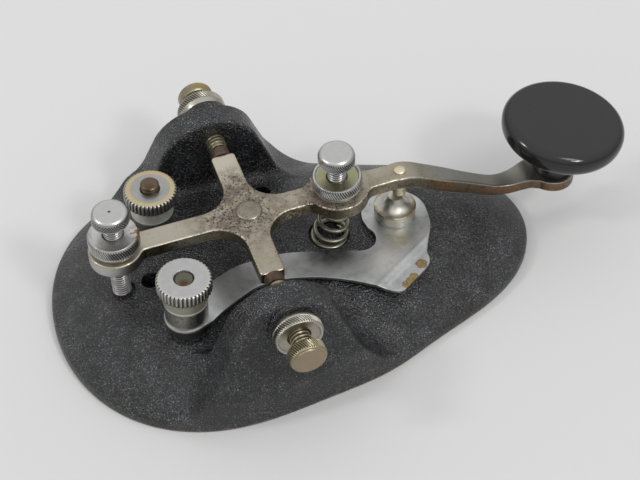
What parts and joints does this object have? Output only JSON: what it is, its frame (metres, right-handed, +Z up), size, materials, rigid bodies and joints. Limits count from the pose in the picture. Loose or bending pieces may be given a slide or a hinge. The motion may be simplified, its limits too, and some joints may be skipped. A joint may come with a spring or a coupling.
{
  "type": "telegraph key",
  "caption": "Hand telegraph key: a knobbed lever sprung between pivot screws in a cast base, with binding posts, a contact strap and adjusting screws.",
  "frame": {"origin": "middle of the bounding box at the level of the surface the key stands on", "axes": "+X along the lever from the pivot to the knob, +Y towards the ear with the rear pivot screw, +Z up"},
  "size_m": [0.1518, 0.094, 0.0432],
  "materials": {
    "painted_casting": "black paint over a fine-grained casting",
    "nickel": "worn nickel plate, pitted",
    "sheet_nickel": "satin nickel plate",
    "steel": "bright, knurled",
    "brass": "tarnished",
    "spring_wire": "dull wire",
    "rusty_steel": "brown with rust",
    "insulator": "black moulded",
    "knob_black": "polished black"
  },
  "bodies": {
    "base": {"base_casting": "painted_casting", "binding_post_front": "steel", "binding_post_rear": "steel", "front_post_bush": "insulator", "insulating_washers": "insulator", "terminal_washers": "steel", "terminal_nuts": "steel", "anvil_insulator": "insulator", "contact_anvil": "nickel", "contact_strap": "sheet_nickel", "lever_spring": "spring_wire"},
    "lever_arm": {"lever": "nickel", "pivot_pin_front": "rusty_steel", "pivot_pin_rear": "rusty_steel", "centre_rivet": "nickel", "upper_contact": "nickel", "knob": "knob_black", "knob_screw": "steel"},
    "binding_nut_front_body": {"binding_nut_front": "steel"},
    "binding_nut_rear_body": {"binding_nut_rear": "steel"},
    "pivot_screw_front_body": {"pivot_screw_front": "brass"},
    "pivot_screw_rear_body": {"pivot_screw_rear": "brass"},
    "pivot_lock_nut_front_body": {"pivot_lock_nut_front": "steel"},
    "pivot_lock_nut_rear_body": {"pivot_lock_nut_rear": "steel"},
    "stop_screw_body": {"stop_screw": "steel"},
    "stop_lock_nut_body": {"stop_lock_nut": "steel"},
    "spring_screw_body": {"spring_screw": "steel"},
    "spring_lock_nut_body": {"spring_lock_nut": "steel"}
  },
  "joints": [
    {"name": "lever_pivot", "type": "hinge", "parent": "base", "child": "lever_arm", "pos_m": [-0.0249, 0, 0.0282], "axis": [0, 1, 0], "range_deg": [0, 1.1], "stiffness_Nm_per_rad": 0.45, "springref_deg": -6.88, "deforming": ["lever_spring"]},
    {"name": "front_pivot_screw_turn", "type": "hinge", "parent": "base", "child": "pivot_screw_front_body", "pos_m": [-0.0249, -0.035, 0.0282], "axis": [0, -1, 0], "continuous": true},
    {"name": "rear_pivot_screw_turn", "type": "hinge", "parent": "base", "child": "pivot_screw_rear_body", "pos_m": [-0.0249, 0.035, 0.0282], "axis": [0, 1, 0], "continuous": true},
    {"name": "front_pivot_lock_nut_turn", "type": "hinge", "parent": "base", "child": "pivot_lock_nut_front_body", "pos_m": [-0.0249, -0.038, 0.0282], "axis": [0, -1, 0], "continuous": true},
    {"name": "rear_pivot_lock_nut_turn", "type": "hinge", "parent": "base", "child": "pivot_lock_nut_rear_body", "pos_m": [-0.0249, 0.038, 0.0282], "axis": [0, 1, 0], "continuous": true},
    {"name": "stop_screw_turn", "type": "hinge", "parent": "lever_arm", "child": "stop_screw_body", "pos_m": [-0.05829, 0, 0.02741], "axis": [-0.0236, 0, 0.9997], "continuous": true},
    {"name": "stop_lock_nut_turn", "type": "hinge", "parent": "lever_arm", "child": "stop_lock_nut_body", "pos_m": [-0.05829, 0, 0.02741], "axis": [-0.0236, 0, 0.9997], "continuous": true},
    {"name": "spring_screw_turn", "type": "hinge", "parent": "lever_arm", "child": "spring_screw_body", "pos_m": [-0.0013, 0, 0.02876], "axis": [-0.0236, 0, 0.9997], "continuous": true},
    {"name": "spring_lock_nut_turn", "type": "hinge", "parent": "lever_arm", "child": "spring_lock_nut_body", "pos_m": [-0.0013, 0, 0.02876], "axis": [-0.0236, 0, 0.9997], "continuous": true},
    {"name": "front_binding_nut_lift", "type": "slide", "parent": "base", "child": "binding_nut_front_body", "axis": [0, 0, 1], "range_m": [0, 0.004]},
    {"name": "rear_binding_nut_lift", "type": "slide", "parent": "base", "child": "binding_nut_rear_body", "axis": [0, 0, 1], "range_m": [0, 0.004]}
  ]
}
